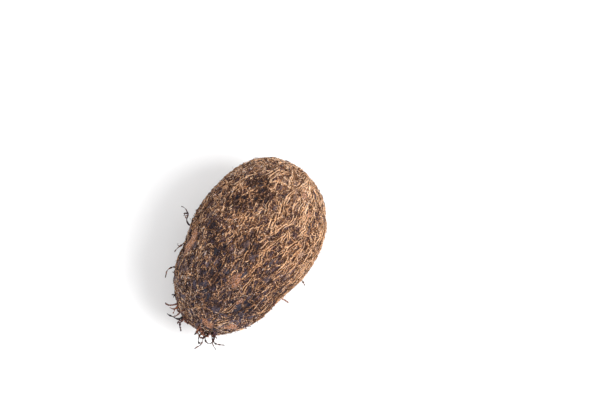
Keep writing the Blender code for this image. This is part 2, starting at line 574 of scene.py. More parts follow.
def build_tubes(name, centres, ups, widths, flatness, sides, shades, material):
    """Many thin tubes as one piece. Arrays run over tubes, then rings. shades are their map columns."""
    count, steps, _ = centres.shape
    ahead = np.gradient(centres, axis=1)
    across = np.cross(ahead, ups)
    across /= np.maximum(np.linalg.norm(across, axis=2, keepdims=True), 1e-12)
    raised = np.cross(across, ahead)
    raised /= np.maximum(np.linalg.norm(raised, axis=2, keepdims=True), 1e-12)
    angles = 2 * math.pi * (np.arange(sides) + 0.5) / sides
    wide = widths[:, :, None, None] / 2
    rings = centres[:, :, None, :] + wide * (
        across[:, :, None, :] * np.cos(angles)[None, None, :, None]
        + flatness * raised[:, :, None, :] * np.sin(angles)[None, None, :, None]
    )
    rings[..., 2] = np.maximum(rings[..., 2], FLOOR_GAP)
    corners, counts, places = tube_faces(count, steps, sides)
    piece = new_piece(name, rings.reshape(-1, 3), corners, counts, material)
    across = (shades[places[:, 0].astype(int)] + inset(places[:, 1], 0.1)) / (2 * SHADES)
    add_map(piece, np.stack([across, inset(places[:, 2], 0.02)], axis=1))
    return piece


# ---------------------------------------------------------------- strands on the skin

FEELER = 0.3 * MM  # how far to each side a strand feels for the lines of the net
WANDER_SIZE = 6 * MM  # how wide the places are in which neighbouring strands bend alike
BARE_SINK = 0.8 * MM  # how deep strands sink under the skin where it is bare
COOL_DARKER = 0.12  # how much darker cool strands are


def scatter(rng, count, weight):
    """Random places, even over the surface but thinned by weight, a function of points from 0 to 1."""
    lats, turns = [], []
    found = 0
    while found < count:
        lat = np.arcsin(rng.uniform(-1, 1, count * 2))
        turn = rng.uniform(0, 2 * math.pi, count * 2)
        kept = rng.uniform(0, 1, len(lat)) < weight(corm_surface().place(lat, turn))
        kept &= np.abs(lat) < LAST_START
        lats.append(lat[kept])
        turns.append(turn[kept])
        found += kept.sum()
    return np.concatenate(lats)[:count], np.concatenate(turns)[:count]


def draw_even(lines):
    """Draws each number of every row towards its two neighbours. The ends stay."""
    lines[:, 1:-1] = (lines[:, :-2] + 2 * lines[:, 1:-1] + lines[:, 2:]) / 4


def walk(pattern, rng, lat, turn, lengths, steps, spread, follow=0.0, hold=1.0, wander=0.3, wobble=0.1):
    """Runs strands over the skin from their starts, and returns the latitude and turn of each point.

    spread is how far strands lie off the grain, follow draws them onto the lines of the net,
    hold keeps them straight, wander bends neighbours alike and wobble bends each by itself.
    """
    surface = corm_surface()
    step = lengths / (steps - 1)
    count = len(lat)
    skew = np.exp(1j * rng.normal(0, spread, count))
    course = skew * pattern.grain(surface.place(lat, turn), *surface.tangents(lat, turn))
    course = course * np.where(rng.uniform(size=count) < 0.5, -1, 1)
    lats, turns = [lat], [turn]
    for _ in range(steps - 1):
        points = surface.place(lat, turn)
        ahead, around = surface.tangents(lat, turn)
        grain = skew * pattern.grain(points, ahead, around)
        grain = grain * np.exp(1j * wander * noise(points, WANDER_SIZE, 203))
        ringed = pattern.ringed_share(points)
        way = hold * course + (0.6 + 1.4 * ringed) * alike(grain, course)
        if follow:
            gaps = [pattern.gap(points + FEELER * off) for off in (ahead, -ahead, around, -around)]
            slope = gaps[0] - gaps[1] + 1j * (gaps[2] - gaps[3])
            slope = slope / np.maximum(np.abs(slope), 0.05)
            gap = sum(gaps) / 4
            drawn = alike(1j * slope, course) - np.clip(2.5 * gap, 0, 1.2) * slope
            way = way + follow * (1 - 0.75 * ringed) * drawn
        course = unit(way) * np.exp(1j * wobble * rng.normal(0, 1, count))
        along, about = surface.stride(points, lat)
        lat = np.clip(lat + step * course.real / along, -LAST_LATITUDE, LAST_LATITUDE)
        turn = turn + step * course.imag / about
        lats.append(lat)
        turns.append(turn)
    lats, turns = np.stack(lats, 1), np.stack(turns, 1)
    draw_even(lats)
    draw_even(turns)
    return lats, turns


def lay_on_skin(pattern, lats, turns, lift):
    """Points and outward directions of strands, raised from the skin by lift, or sunk where it is bare."""
    surface = corm_surface()
    flat_lat, flat_turn = lats.ravel(), turns.ravel()
    points = surface.place(flat_lat, flat_turn)
    out = surface.outward(flat_lat, flat_turn)
    high = pattern.height(points).reshape(lats.shape)
    for _ in range(2):
        draw_even(high)
    high = high.ravel() - BARE_SINK * pattern.bare_share(points)
    raised = points + out * (high + np.broadcast_to(lift, lats.shape).ravel())[:, None]
    shape = lats.shape + (3,)
    return raised.reshape(shape), out.reshape(shape)


def map_columns(pattern, rng, points, level, spread, toned=0.26, cooled=0.6):
    """Each strand's column of the map.

    level is the common shade, from 0, dark, to 1, pale, and spread is how far chance moves it.
    toned is how much the shade follows the skin's tone, and cooled how many are cool on cool skin.
    """
    shade = level + toned * pattern.tone(points) + rng.normal(0, spread, len(points))
    cool = rng.uniform(size=len(points)) < cooled * pattern.cool_share(points)
    shade = shade - COOL_DARKER * cool
    return np.floor(np.clip(shade, 0, 0.999) * SHADES) + SHADES * cool


def taper(steps, ends=0.35):
    """Width along a strand: full in the middle and thinner at both ends."""
    along = np.linspace(-1, 1, steps)
    return ends + (1 - ends) * (1 - np.abs(along) ** 3)


# ---------------------------------------------------------------- materials


# What greyer, purpler parts and more orange parts multiply their colour by
COOL_TINT = (0.82, 1.0, 1.36)
WARM_TINT = (1.18, 0.94, 0.58)


class Graph:
    """Adds nodes to a new material's tree and links them."""

    def __init__(self, name, specular):
        self.material = bpy.data.materials.new(name)
        self.material.use_nodes = True
        self.tree = self.material.node_tree
        self.shader = self.tree.nodes["Principled BSDF"]
        self.shader.inputs["Specular IOR Level"].default_value = specular

    def add(self, kind, inputs=(), **settings):
        """A node of one kind. inputs maps a socket's name or number to a value or another socket."""
        node = self.tree.nodes.new("ShaderNode" + kind)
        for key, value in settings.items():
            setattr(node, key, value)
        for key, value in dict(inputs).items():
            self.set(node.inputs[key], value)
        return node

    def set(self, socket, value):
        if isinstance(value, bpy.types.NodeSocket):
            self.tree.links.new(value, socket)
        else:
            socket.default_value = value

    def value(self, name):
        """A number that the mesh carries."""
        return self.add("Attribute", attribute_name=name).outputs["Fac"]

    def vector(self, name):
        """Three numbers that the mesh carries."""
        return self.add("Attribute", attribute_name=name).outputs["Vector"]

    def spread(self, factor, gain):
        """Noise with its contrast raised, so that it fills the range from 0 to 1."""
        return self.math("MULTIPLY_ADD", factor, gain, 0.5 - 0.5 * gain, clamp=True)

    def total(self, *parts):
        """The sum of (value, share) parts."""
        result = 0.0
        for value, share in parts:
            result = self.math("MULTIPLY_ADD", value, share, result)
        return result

    def ease(self, value, low, high):
        """0 at low and 1 at high, with soft ends."""
        inputs = {"Value": value, "From Min": low, "From Max": high}
        return self.add("MapRange", inputs, interpolation_type="SMOOTHSTEP").outputs["Result"]

    def math(self, operation, first, second=0.0, third=0.0, clamp=False):
        inputs = {0: first, 1: second, 2: third}
        return self.add("Math", inputs, operation=operation, use_clamp=clamp).outputs[0]

    def noise(self, vector, detail=3.0, roughness=0.6):
        inputs = {"Vector": vector, "Scale": 1.0, "Detail": detail, "Roughness": roughness}
        return self.add("TexNoise", inputs).outputs["Fac"]

    def grain(self, scale, gain, **kind):
        """Noise over the object with so many lumps to the metre along each axis, spread by gain."""
        return self.spread(self.noise(self.stretched(scale), **kind), gain)

    def stretched(self, scale):
        """Object coordinates with each axis scaled."""
        place = self.add("TexCoord").outputs["Object"]
        return self.add("Mapping", {"Vector": place, "Scale": scale}).outputs["Vector"]

    def ramp(self, factor, stops):
        """A colour ramp through (place, colour) stops."""
        node = self.add("ValToRGB", {"Fac": factor})
        elements = node.color_ramp.elements
        while len(elements) < len(stops):
            elements.new(0.5)
        for element, (place, colour) in zip(elements, stops):
            element.position = place
            element.color = (*colour[:3], 1.0)
        return node.outputs["Color"]

    def tinted(self, hue, colour):
        """A colour made cooler where hue is 0 and warmer where it is 1."""
        return self.mix(1.0, colour, self.mix(hue, COOL_TINT, WARM_TINT), "MULTIPLY")

    def mix(self, factor, first, second, blend="MIX"):
        """Mixes two colours."""
        node = self.add("Mix", data_type="RGBA", blend_type=blend)
        self.set(node.inputs["Factor"], factor)
        first_socket, second_socket = (k for k in node.inputs if k.type == "RGBA")
        for socket, colour in ((first_socket, first), (second_socket, second)):
            if not isinstance(colour, bpy.types.NodeSocket):
                colour = (*colour[:3], 1.0)
            self.set(socket, colour)
        return next(k for k in node.outputs if k.type == "RGBA")


def net_cells(graph):
    """The net with ragged lines: how far a point lies from its lines, and a chance number per cell."""
    grit = graph.add("TexNoise", {"Vector": graph.stretched((1100.0, 1100.0, 1100.0)), "Scale": 1.0})
    ragged = graph.add("VectorMath", {0: grit.outputs["Color"], 1: (0.5, 0.5, 0.5)}, operation="SUBTRACT")
    ragged = graph.add(
        "VectorMath",
        {0: ragged.outputs["Vector"], 1: (0.55, 0.55, 0.55), 2: graph.vector("net")},
        operation="MULTIPLY_ADD",
    )
    inputs = {"Vector": ragged.outputs["Vector"], "Scale": 1.0, "Randomness": SkinPattern.RANDOMNESS}
    nearest, following = (graph.add("TexVoronoi", inputs, feature=kind) for kind in ("F1", "F2"))
    gap = graph.math("SUBTRACT", following.outputs["Distance"], nearest.outputs["Distance"])
    cell = graph.add("SeparateColor", {"Color": nearest.outputs["Color"]}).outputs["Red"]
    return gap, cell


def skin_material(settings):
    """Dry net skin: dark plates in the hollows, golden-brown ribs, painted shade along the hollows' edges,
    rubbed places and pale scars.
    """
    graph = Graph("net_skin", specular=0.08)
    fibres = graph.grain((300.0, 1500.0, 1500.0), 3.2)
    speckle = graph.grain((2000.0, 2200.0, 2200.0), 3.6, detail=1.0)
    hue = graph.grain((900.0, 1250.0, 1250.0), 3.2, roughness=0.7)
    patches = graph.grain((210.0, 260.0, 260.0), 3.0)
    tone = graph.value("tone")
    gap, cell = net_cells(graph)
    rib = graph.ease(gap, 0.21, 0.03)
    plate_colour = graph.ramp(
        graph.total((cell, 0.32), (fibres, 0.28), (speckle, 0.30), (tone, 0.24)),
        (
            (0.10, settings.blue_black),
            (0.28, settings.black_brown),
            (0.44, settings.purple),
            (0.68, settings.brown),
            (0.98, settings.orange_brown),
        ),
    )
    ridge_colour = graph.ramp(
        graph.total((speckle, 0.44), (fibres, 0.30), (patches, 0.24), (tone, 0.20)),
        (
            (0.10, settings.black_brown),
            (0.38, settings.brown),
            (0.66, settings.orange_brown),
            (0.96, settings.gold),
        ),
    )
    colour = graph.mix(rib, plate_colour, ridge_colour)
    # Painted shade: a thin dark band where each rib meets its hollow, standing in for the shadow in the
    # narrow groove between them.
    crack_shade = graph.math("MULTIPLY", graph.ease(gap, 0.13, 0.20), graph.ease(gap, 0.34, 0.23))
    colour = graph.mix(graph.math("MULTIPLY", crack_shade, 0.85), colour, settings.black_brown)
    smooth_colour = graph.ramp(
        graph.total((fibres, 0.40), (speckle, 0.15), (graph.value("pale"), 0.45)),
        ((0.0, settings.rubbed_dark), (0.5, settings.rubbed), (1.0, settings.rubbed_pale)),
    )
    colour = graph.mix(graph.math("MULTIPLY", graph.value("rubbed"), 0.85), colour, smooth_colour)
    colour = graph.mix(graph.math("MULTIPLY", graph.value("ring"), 0.4), colour, settings.ring)
    scar_colour = graph.ramp(speckle, ((0.1, settings.brown), (0.6, settings.scar)))
    colour = graph.mix(graph.value("scar"), colour, scar_colour)
    plates_only = graph.math("MULTIPLY_ADD", rib, -0.6, 1.0)
    cool = graph.math("MULTIPLY", graph.value("cool"), plates_only)
    bare = graph.math("MAXIMUM", graph.value("rubbed"), graph.value("scar"))
    cool = graph.math("SUBTRACT", cool, graph.math("MULTIPLY", cool, bare))
    colour = graph.mix(cool, colour, COOL_TINT, "MULTIPLY")
    grains = graph.math("MULTIPLY_ADD", speckle, 1.25, 0.35)
    colour = graph.tinted(hue, graph.mix(1.0, colour, grains, "MULTIPLY"))
    graph.set(graph.shader.inputs["Base Color"], colour)
    dull = graph.math("MULTIPLY_ADD", fibres, -0.22, 0.94)
    graph.set(graph.shader.inputs["Roughness"], dull)
    grain = graph.math("MULTIPLY_ADD", speckle, 0.45, graph.math("ADD", fibres, rib))
    bump = graph.add("Bump", {"Strength": 1.0, "Distance": 0.28 * MM, "Height": grain})
    graph.set(graph.shader.inputs["Normal"], bump.outputs["Normal"])
    return graph.material


def strand_material(name, colours, roughness, streaks):
    """Dry fibre, whose shade comes from its column of the map, with streaks along it."""
    graph = Graph(name, specular=0.10)
    place = graph.add("UVMap", uv_map=BAKE_MAP).outputs["UV"]
    split = graph.add("SeparateXYZ", {"Vector": place})
    scale = (2.0 * SHADES, streaks, 1.0)
    stretched = graph.add("Mapping", {"Vector": place, "Scale": scale})
    streak = graph.spread(graph.noise(stretched.outputs["Vector"], detail=2.0), 2.4)
    shade = graph.math("FRACT", graph.math("MULTIPLY", split.outputs["X"], 2.0))
    shade = graph.math("MULTIPLY_ADD", streak, 0.8, graph.math("ADD", shade, -0.4))
    stops = [(k / (len(colours) - 1), colour) for k, colour in enumerate(colours)]
    other = graph.add("Mapping", {"Vector": place, "Location": (9.0, 9.0, 0.0), "Scale": scale})
    hue = graph.spread(graph.noise(other.outputs["Vector"], detail=2.0), 3.0)
    cool = graph.math("GREATER_THAN", split.outputs["X"], 0.5)
    colour = graph.mix(cool, graph.tinted(hue, graph.ramp(shade, stops)), COOL_TINT, "MULTIPLY")
    graph.set(graph.shader.inputs["Base Color"], colour)
    graph.shader.inputs["Roughness"].default_value = roughness
    return graph.material


# ---------------------------------------------------------------- settings


def length_setting(name, description, default):
    return bpy.props.FloatProperty(
        name=name, description=description, default=default, min=0.0, unit="LENGTH", precision=5
    )


def colour_setting(name, description, default):
    return bpy.props.FloatVectorProperty(
        name=name, description=description, default=default, min=0.0, max=1.0, size=3, subtype="COLOR"
    )


def count_setting(name, description, default):
    return bpy.props.IntProperty(name=name, description=description, default=default, min=1)


def angle_setting(name, description, degrees):
    return bpy.props.FloatProperty(
        name=name, description=description, default=math.radians(degrees), subtype="ANGLE"
    )


class TaroSkinSettings(bpy.types.PropertyGroup):
    """Sizes and colours of the skin"""

    cell_length: length_setting("Cell length", "Length of one hollow of the net", 4.5 * MM)
    cell_width: length_setting("Cell width", "Width of one hollow of the net", 2.7 * MM)
    hollow_depth: length_setting("Hollow depth", "How deep the hollows lie under the ribs", 0.75 * MM)
    panes: count_setting("Panes", "Squares along each side of the skin's six patches", 128)
    blue_black: colour_setting("Blue black", "Darkest plates in the hollows", (0.020, 0.020, 0.027))
    black_brown: colour_setting("Black brown", "Common dark of the hollows", (0.055, 0.028, 0.018))
    purple: colour_setting("Purple", "Grey-purple plates", (0.110, 0.066, 0.068))
    brown: colour_setting("Brown", "Common brown of the skin", (0.165, 0.086, 0.052))
    orange_brown: colour_setting("Orange brown", "Lighter brown of the ribs", (0.400, 0.205, 0.110))
    gold: colour_setting("Gold", "Dry, worn high spots", (0.820, 0.520, 0.310))
    rubbed: colour_setting("Rubbed", "Smooth skin where the net is rubbed off", (0.390, 0.200, 0.125))
    rubbed_dark: colour_setting("Rubbed dark", "Darker parts of the smooth skin", (0.165, 0.078, 0.050))
    rubbed_pale: colour_setting("Rubbed pale", "Palest smooth skin", (0.800, 0.470, 0.310))
    ring: colour_setting("Ring", "Leaf-scar rings at the two ends", (0.230, 0.110, 0.065))
    scar: colour_setting("Scar", "Corky heel scar and bud", (0.420, 0.270, 0.180))


class TaroStrandSettings(bpy.types.PropertyGroup):
    """Counts, sizes and colours of the strands on the skin"""

    ribs: count_setting("Ribs", "Strands of the net that lie between the hollows", 900)
    rib_width: length_setting("Rib width", "Width of a common strand of the net", 0.30 * MM)
    crumbs: count_setting("Crumbs", "Short broken bits of fibre on the ribs", 4200)
    crumb_width: length_setting("Crumb width", "Width of a broken bit of fibre", 0.34 * MM)
    golden: count_setting("Golden fibres", "Long pale fibres, mostly on the -Y side", 240)
    golden_width: length_setting("Golden fibre width", "Width of a long pale fibre", 0.42 * MM)
    grit: count_setting("Grit", "Tiny grains of dry skin all over", 9000)
    grit_width: length_setting("Grit width", "Width of a tiny grain", 0.36 * MM)
    hairs: count_setting("Hairs", "Fine short hairs that lie in all directions", 3000)
    hair_width: length_setting("Hair width", "Width of a fine hair", 0.13 * MM)
    dark: colour_setting("Dark fibre", "Darkest strands", (0.024, 0.012, 0.010))
    brown: colour_setting("Brown fibre", "Brown strands", (0.120, 0.056, 0.034))
    tan: colour_setting("Tan fibre", "Common strands", (0.400, 0.205, 0.105))
    gold: colour_setting("Golden fibre", "Golden strands", (0.780, 0.470, 0.260))
    cream: colour_setting("Cream fibre", "Palest, driest strands", (0.900, 0.670, 0.480))

    def palette(self):
        return (self.dark, self.brown, self.tan, self.gold, self.cream)


class TaroScaleSettings(bpy.types.PropertyGroup):
    """Sizes and colours of the papery scales"""

    count: count_setting("Count", "How many scales lie on the skin", 300)
    length: length_setting("Length", "Length of a common scale", 3.6 * MM)
    thickness: length_setting("Thickness", "Thickness of a scale", 0.14 * MM)
    curl: length_setting("Curl", "How far the most curled scale stands up", 0.9 * MM)
    dark: colour_setting("Dark", "Darkest scales", (0.018, 0.014, 0.017))
    purple: colour_setting("Purple", "Grey-purple scales", (0.085, 0.050, 0.050))
    brown: colour_setting("Brown", "Common brown scales", (0.200, 0.105, 0.066))
    pale: colour_setting("Pale", "Dry, pale scales", (0.520, 0.330, 0.220))


class TaroRootletSettings(bpy.types.PropertyGroup):
    """Sizes and colours of the dried rootlets"""

    thickness: length_setting("Thickness", "Thickness of a rootlet where it leaves the skin", 1.05 * MM)
    dark: colour_setting("Dark", "Darkest rootlets", (0.012, 0.008, 0.008))
    red: colour_setting("Red brown", "Commonest rootlets", (0.095, 0.038, 0.028))
    pale: colour_setting("Pale", "Worn rootlets", (0.400, 0.200, 0.140))


class TaroCrownSettings(bpy.types.PropertyGroup):
    """Sizes and colours of the collars round the bud"""

    collars: count_setting("Collars", "How many collars stand round the bud", 3)
    inner_radius: length_setting("Inner radius", "Radius of the innermost collar", 2.4 * MM)
    pitch: length_setting("Pitch", "Distance from one collar to the next", 2.3 * MM)
    height: length_setting("Height", "How far the tallest flaps stand out", 1.9 * MM)
    thickness: length_setting("Thickness", "Thickness of a collar", 0.22 * MM)
    dark: colour_setting("Dark", "Dark parts of the collars", (0.050, 0.028, 0.022))
    brown: colour_setting("Brown", "Common brown of the collars", (0.190, 0.100, 0.066))
    pale: colour_setting("Pale", "Torn, pale edges", (0.450, 0.290, 0.200))


class TaroStageSettings(bpy.types.PropertyGroup):
    """Camera, lights and floor"""

    camera_turn: angle_setting("Camera turn", "Which way the camera looks, from +Y", -56.9)
    camera_tilt: angle_setting("Camera tilt", "How far the camera looks down", 72.0)
    distance: length_setting("Distance", "From the camera to the floor in the middle of its view", 0.680)
    lens: bpy.props.FloatProperty(name="Lens", description="Focal length", default=85.0, unit="CAMERA")
    aside: length_setting("Aside", "How far right of the corm the camera aims", 26.7 * MM)
    beyond: length_setting("Beyond", "How far past the corm the camera aims", 20.9 * MM)
    key_power: bpy.props.FloatProperty(
        name="Key light", description="Power of the soft light", default=7.8, min=0.0, unit="POWER"
    )
    key_size: length_setting("Key light size", "Width of the soft light's disk", 0.5)
    key_distance: length_setting("Key light distance", "From the corm's middle to the soft light", 0.9)
    sky: bpy.props.FloatProperty(name="Sky", description="Light from all round", default=0.97, min=0.0)
    floor_dark: colour_setting("Floor", "Darker clouds of the white floor", (0.915, 0.915, 0.920))
    floor_pale: colour_setting("Pale floor", "Paler clouds of the white floor", (0.935, 0.935, 0.940))


# ---------------------------------------------------------------- operators


def cube_patches(panes):
    """An even net of squares over a ball, as a cube's six sides blown up: directions and map places."""
    ticks = np.tan(np.linspace(-math.pi / 4, math.pi / 4, panes + 1))
    first, second = np.meshgrid(ticks, ticks, indexing="ij")
    row, column = np.meshgrid(np.arange(panes + 1), np.arange(panes + 1), indexing="ij")
    directions, places = [], []
    for side in range(6):
        axis, sign = side // 2, 1 - 2 * (side % 2)
        cube = np.empty(first.shape + (3,))
        cube[..., axis] = sign
        cube[..., (axis + 1) % 3] = first * sign
        cube[..., (axis + 2) % 3] = second
        directions.append(cube / np.linalg.norm(cube, axis=-1, keepdims=True))
        across = (side % 3 + inset(row / panes, 0.01)) / 3
        up = (side // 3 + inset(column / panes, 0.01)) / 2
        places.append(np.stack([across, up], axis=-1))
    return np.stack(directions), np.stack(places)


def weld(directions):
    """Joins the points that neighbouring patches share: kept points, and each point's new number."""
    steps_to_one = 1e6  # directions are alike when they agree to a millionth
    keys = np.round(directions.reshape(-1, 3) * steps_to_one).astype(np.int64)
    _found, kept, numbers = np.unique(keys, axis=0, return_index=True, return_inverse=True)
    return kept, numbers.ravel()


class TARO_OT_build_skin(bpy.types.Operator):
    """Builds the net skin over the whole corm, which it stands for"""

    bl_idname = "taro.build_skin"
    bl_label = "Build Skin"

    def execute(self, context):
        settings = context.scene.taro_skin
        pattern = SkinPattern(settings)
        panes = settings.panes
        directions, places = cube_patches(panes)
        kept, numbers = weld(directions)
        flat = directions.reshape(-1, 3)[kept]
        lat = np.arcsin(np.clip(flat[:, 0], -1, 1))
        turn = np.arctan2(flat[:, 2], flat[:, 1])
        surface = corm_surface()
        plain = surface.place(lat, turn)
        points = plain + surface.outward(lat, turn) * pattern.height(plain)[:, None]
        points[:, 2] = np.maximum(points[:, 2], 0.0)
        grid = np.arange(6 * (panes + 1) ** 2).reshape(6, panes + 1, panes + 1)
        quads = np.stack([grid[:, :-1, :-1], grid[:, 1:, :-1], grid[:, 1:, 1:], grid[:, :-1, 1:]], -1)
        quads = quads.reshape(-1, 4)
        material = skin_material(settings)
        skin = new_piece(CORM + "_skin", points, numbers[quads].ravel(), np.full(len(quads), 4), material)
        add_map(skin, places.reshape(-1, 2)[quads.ravel()])
        rubbed, pale = pattern.rubbed_places(plain)
        for name, values in (
            ("tone", pattern.tone(plain)),
            ("cool", pattern.cool_share(plain)),
            ("rubbed", rubbed),
            ("pale", pale),
            ("ring", pattern.rings(plain)),
            ("scar", pattern.scar_share(plain)),
        ):
            add_values(skin, name, values)
        net = skin.data.attributes.new("net", "FLOAT_VECTOR", "POINT")
        net.data.foreach_set("vector", pattern.net_place(plain).astype(np.float32).ravel())
        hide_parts(CORM)
        return {"FINISHED"}


class TARO_OT_build_ribs(bpy.types.Operator):
    """Builds the strands of the net, which run between the hollows, and the crumbs and grit on them"""

    bl_idname = "taro.build_ribs"
    bl_label = "Build Ribs"

    # The two kinds of short bits.
    # off_line: how likely a place off the net's lines is to get one, next to a place on them
    # reach: how far from a line a place still counts as on it, in cells of the net
    # lengths, lift: shortest and longest, and the highest lift, in millimetres
    # thinnest, ends: width of the thinnest one, and of each one's ends, as shares of its width
    # pale, shades: the share of pale ones, and the shades of pale ones and dark ones
    # bends: how each one runs over the skin
    CRUMBS = {
        "seed": 22, "steps": 4, "off_line": 0.0, "reach": 0.30, "lengths": (0.8, 2.8), "lift": 0.35,
        "thinnest": 0.5, "ends": 0.5, "flatness": 0.8, "pale": 0.55, "shades": (0.82, 0.12),
        "bends": {"spread": 0.6, "follow": 0.8, "hold": 1.5, "wander": 0.4, "wobble": 0.15},
    }
    GRIT = {
        "seed": 23, "steps": 3, "off_line": 0.3, "reach": 0.5, "lengths": (0.3, 0.9), "lift": 0.3,
        "thinnest": 0.6, "ends": 0.6, "flatness": 0.9, "pale": 0.32, "shades": (0.85, 0.15),
        "bends": {"spread": 1.2},
    }

    def ribs(self, settings, pattern, material):
        """Long strands that run along the lines of the net."""
        steps = 14
        rng = np.random.default_rng(21)
        lat, turn = scatter(rng, settings.ribs, lambda p: self.on_rib(pattern, p, 0.35))
        count = len(lat)
        lengths = rng.uniform(3, 10, count) * MM
        lats, turns = walk(
            pattern, rng, lat, turn, lengths, steps, spread=0.3, follow=0.9, hold=1.7, wobble=0.05
        )
        widths = settings.rib_width * rng.uniform(0.55, 1.4, count)[:, None] * taper(steps)
        widths = widths * rng.uniform(0.6, 1.4, widths.shape)
        points, out = lay_on_skin(pattern, lats, turns, 0.12 * widths)
        shades = map_columns(pattern, rng, points[:, steps // 2], 0.48, 0.26)
        build_tubes("net_ribs", points, out, widths, 0.7, 4, shades, material).data.shade_flat()

    def bits(self, name, count, width, kind, pattern, material):
        """Many short bits of one kind, most of them on the lines of the net."""

        def weight(points):
            on_line = self.on_rib(pattern, points, kind["reach"])
            return kind["off_line"] + (1 - kind["off_line"]) * on_line

        steps = kind["steps"]
        rng = np.random.default_rng(kind["seed"])
        lat, turn = scatter(rng, count, weight)
        lengths = rng.uniform(*kind["lengths"], count) * MM
        lats, turns = walk(pattern, rng, lat, turn, lengths, steps, **kind["bends"])
        widths = width * rng.uniform(kind["thinnest"], 1.4, count)[:, None] * taper(steps, kind["ends"])
        lift = rng.uniform(0.0, kind["lift"], count)[:, None] * MM
        points, out = lay_on_skin(pattern, lats, turns, lift)
        level = np.where(rng.uniform(size=count) < kind["pale"], *kind["shades"])
        shades = map_columns(pattern, rng, points[:, steps // 2], level, 0.12)
        piece = build_tubes(name, points, out, widths, kind["flatness"], 4, shades, material)
        piece.data.shade_flat()

    @staticmethod
    def on_rib(pattern, points, reach):
        """1 on the lines of the net, and 0 in hollows and rubbed places."""
        share = 1 - smoothstep(0.4 * reach, reach, pattern.gap(points))
        return share * (1 - 0.92 * pattern.rubbed_share(points))

    def execute(self, context):
        settings = context.scene.taro_strands
        pattern = SkinPattern(context.scene.taro_skin)
        self.ribs(settings, pattern, strand_material("rib_fibre", settings.palette(), 0.85, 14.0))
        crumb = strand_material("crumb", settings.palette(), 0.85, 4.0)
        self.bits("net_crumbs", settings.crumbs, settings.crumb_width, self.CRUMBS, pattern, crumb)
        self.bits("skin_grit", settings.grit, settings.grit_width, self.GRIT, pattern, crumb)
        return {"FINISHED"}


class TARO_OT_build_fibres(bpy.types.Operator):
    """Builds the golden fibres, in pairs with a dark strand of painted shade between, and the fine hairs
    """

    bl_idname = "taro.build_fibres"
    bl_label = "Build Fibres"

    # The middle strand is dark: painted shade in the gap between the two pale ones.
    RIDGE_SHADES = (0.74, 0.04, 0.66)  # of the strands that lie side by side in one golden ridge
    LOOSE_HAIRS = 0.06  # share of hairs whose tip stands off the skin
    HAIR_SHADES = (0.18, 0.48)  # of loose hairs and of the others

    def golden(self, settings, pattern):
        """Long ridges of three strands each, a dark one of painted shade between two pale ones, which
        spread a little towards their ends.
        """
        steps = 20
        rng = np.random.default_rng(35)

        def weight(points):
            """Most on the -Y side, and few near the ends, the crown end most of all."""
            facing = smoothstep(-0.3, 0.7, -points[:, 1] / HALF_ROUND)
            kept = (1 - 0.9 * pattern.rubbed_share(points)) * (1 - 0.7 * pattern.bruised_share(points))
            kept = kept * (1 - 0.85 * pattern.ringed_share(points))
            behind = smoothstep(-0.75, -0.2, points[:, 0] / HALF_LENGTH)
            return (0.05 + 0.95 * facing) * kept * (0.1 + 0.9 * behind)

        lat, turn = scatter(rng, settings.golden, weight)
        count = len(lat)
        lengths = rng.uniform(3.5, 11, count) * MM
        lats, turns = walk(
            pattern, rng, lat, turn, lengths, steps, spread=0.1, follow=0.4, hold=1.8, wobble=0.05
        )
        aside = rng.uniform(0.45, 0.70, count) * MM / (HALF_ROUND * np.cos(lat))
        part = np.linspace(0, 0.3, steps) * rng.normal(0, 1, count)[:, None] + 1
        strands = len(self.RIDGE_SHADES)
        beside = np.arange(strands)[:, None, None] * aside[:, None] * part
        level = np.repeat(self.RIDGE_SHADES, count)
        count *= strands
        lats = np.broadcast_to(lats, (strands, *lats.shape)).reshape(count, steps)
        turns = (turns + beside).reshape(count, steps)
        widths = settings.golden_width * rng.uniform(0.6, 1.3, count)[:, None] * taper(steps, 0.25)
        widths = widths * rng.uniform(0.65, 1.35, widths.shape)
        points, out = lay_on_skin(pattern, lats, turns, 0.22 * MM + 0.2 * widths)
        shades = map_columns(pattern, rng, points[:, steps // 2], level, 0.10, cooled=0.2)
        material = strand_material("golden_fibre", settings.palette(), 0.75, 24.0)
        build_tubes("golden_fibres", points, out, widths, 0.7, 3, shades, material).data.shade_flat()

    def hairs(self, settings, pattern):
        """Fine hairs in all directions, a few of them loose, with a raised tip."""
        steps = 8
        rng = np.random.default_rng(55)
        lat, turn = scatter(rng, settings.hairs, lambda p: 1 - 0.6 * pattern.rubbed_share(p))
        count = len(lat)
        lengths = rng.uniform(1.2, 5.0, count) * MM
        lats, turns = walk(
            pattern, rng, lat, turn, lengths, steps, spread=0.8, wander=0.5, wobble=0.22
        )
        widths = settings.hair_width * rng.uniform(0.7, 1.5, count)[:, None] * taper(steps, 0.4)
        loose = rng.uniform(size=count) < self.LOOSE_HAIRS
        tip = np.where(loose, rng.uniform(0.5, 2.0, count), rng.uniform(0.0, 0.4, count)) * MM
        lift = 0.1 * MM + tip[:, None] * np.linspace(0, 1, steps) ** 1.5
        points, out = lay_on_skin(pattern, lats, turns, lift)
        level = np.where(loose, *self.HAIR_SHADES)
        shades = map_columns(pattern, rng, points[:, steps // 2], level, 0.26)
        material = strand_material("fine_hair", settings.palette(), 0.8, 10.0)
        build_tubes("fine_hairs", points, out, widths, 1.0, 3, shades, material)

    def execute(self, context):
        settings = context.scene.taro_strands
        pattern = SkinPattern(context.scene.taro_skin)
        self.golden(settings, pattern)
        self.hairs(settings, pattern)
        return {"FINISHED"}


